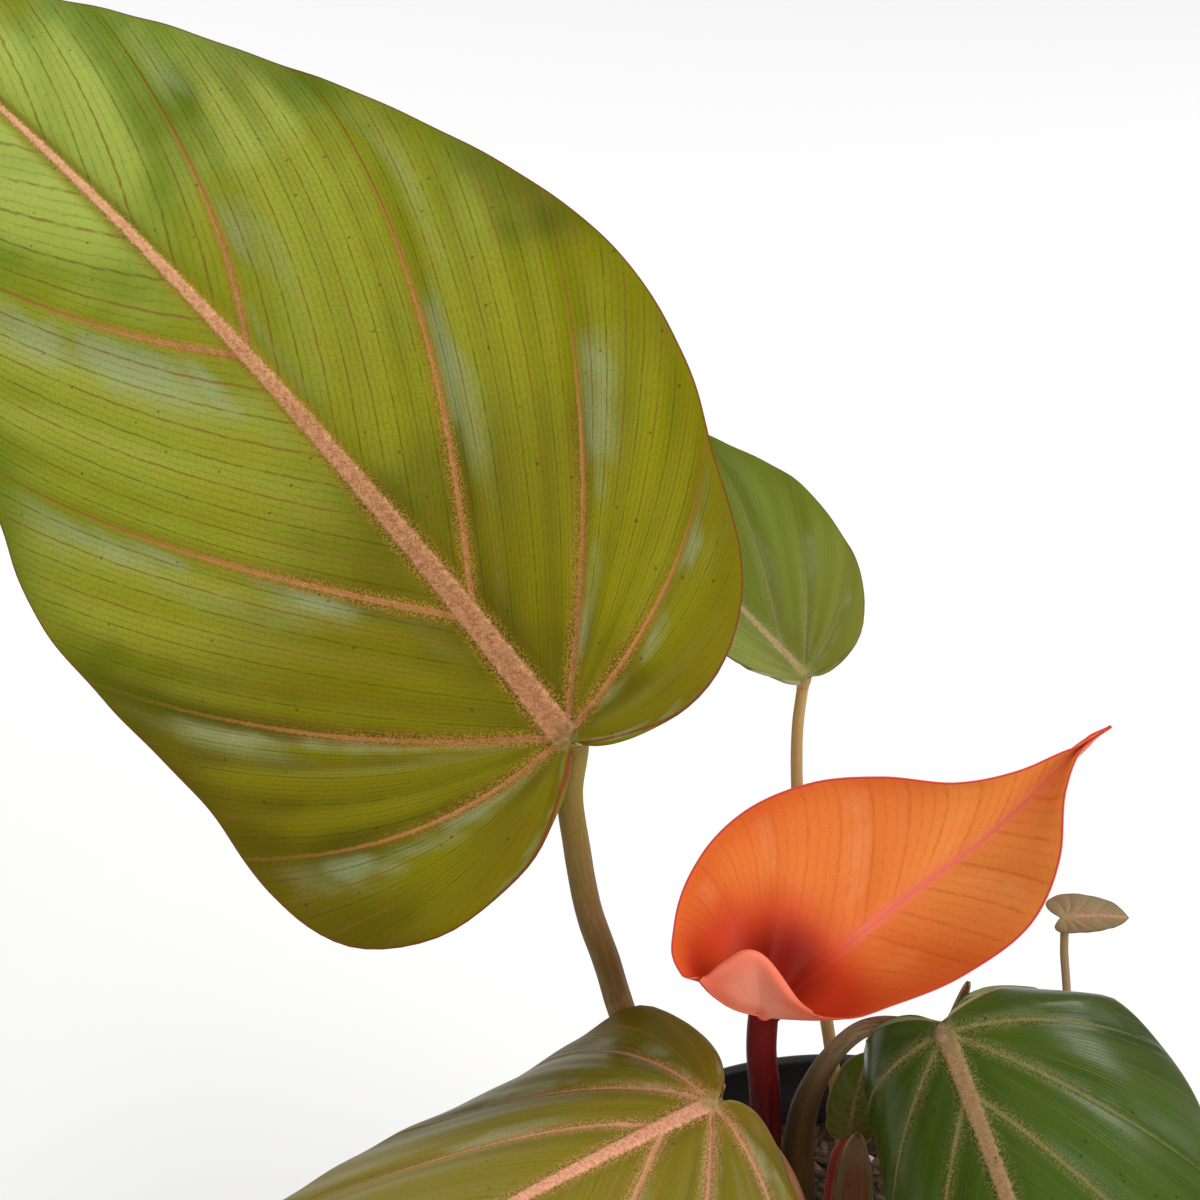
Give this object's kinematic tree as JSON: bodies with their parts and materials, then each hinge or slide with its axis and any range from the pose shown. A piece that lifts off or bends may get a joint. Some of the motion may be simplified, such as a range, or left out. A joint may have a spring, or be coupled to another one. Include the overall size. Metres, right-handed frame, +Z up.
{
  "type": "potted philodendron",
  "caption": "Young heart-leaved aroid house plant in a plain round nursery pot, with arching stalks, a broad lime leaf, olive and dark green leaves and a cupped orange new leaf.",
  "frame": {"origin": "middle of the pot's flat underside", "axes": "+Z up along the pot's axis; -Y faces the side the dark leaf hangs over; the largest leaf points to -X and +Y"},
  "size_m": [0.2501, 0.3, 0.2701],
  "materials": {
    "pot_plastic": "black moulded nursery pot plastic, satin, with faint dust",
    "potting_mix": "dark coarse mix of bark chips, peat and a little perlite",
    "crown_skin": "short leaf-scarred stem, olive brown",
    "lime_leaf": "yellow-green quilted leaf, velvety, with pinkish-tan veins and a thin dark red margin",
    "pale_leaf": "greyish-green leaf with a pale midrib, satin",
    "olive_leaf": "olive leaf with salmon-pink veins, waxy sheen",
    "dark_leaf": "dark green leaf with pink-beige midrib and pale margin, glossy",
    "orange_leaf": "new leaf, apricot orange with a deep red throat, pink midrib and margin, satin",
    "tan_stalk": "olive-tan leaf stalk, finely hairy",
    "crimson_stalk": "dark crimson leaf stalk, satin",
    "dry_sheath": "dried red-brown sheath leaf with olive edges, papery"
  },
  "bodies": {
    "root": {"pot": "pot_plastic", "soil": "potting_mix", "crown": "crown_skin", "large_leaf_blade": "lime_leaf", "large_leaf_stalk": "tan_stalk", "back_leaf_blade": "pale_leaf", "back_leaf_stalk": "tan_stalk", "olive_leaf_blade": "olive_leaf", "olive_leaf_stalk": "tan_stalk", "dark_leaf_blade": "dark_leaf", "dark_leaf_stalk": "tan_stalk", "side_leaf_blade": "pale_leaf", "side_leaf_stalk": "tan_stalk", "young_leaf_blade": "dark_leaf", "young_leaf_stalk": "crimson_stalk", "new_leaf_blade": "orange_leaf", "new_leaf_stalk": "crimson_stalk", "split_sheath": "dry_sheath", "tall_sheath": "dry_sheath", "dry_sheath": "dry_sheath"}
  },
  "joints": []
}
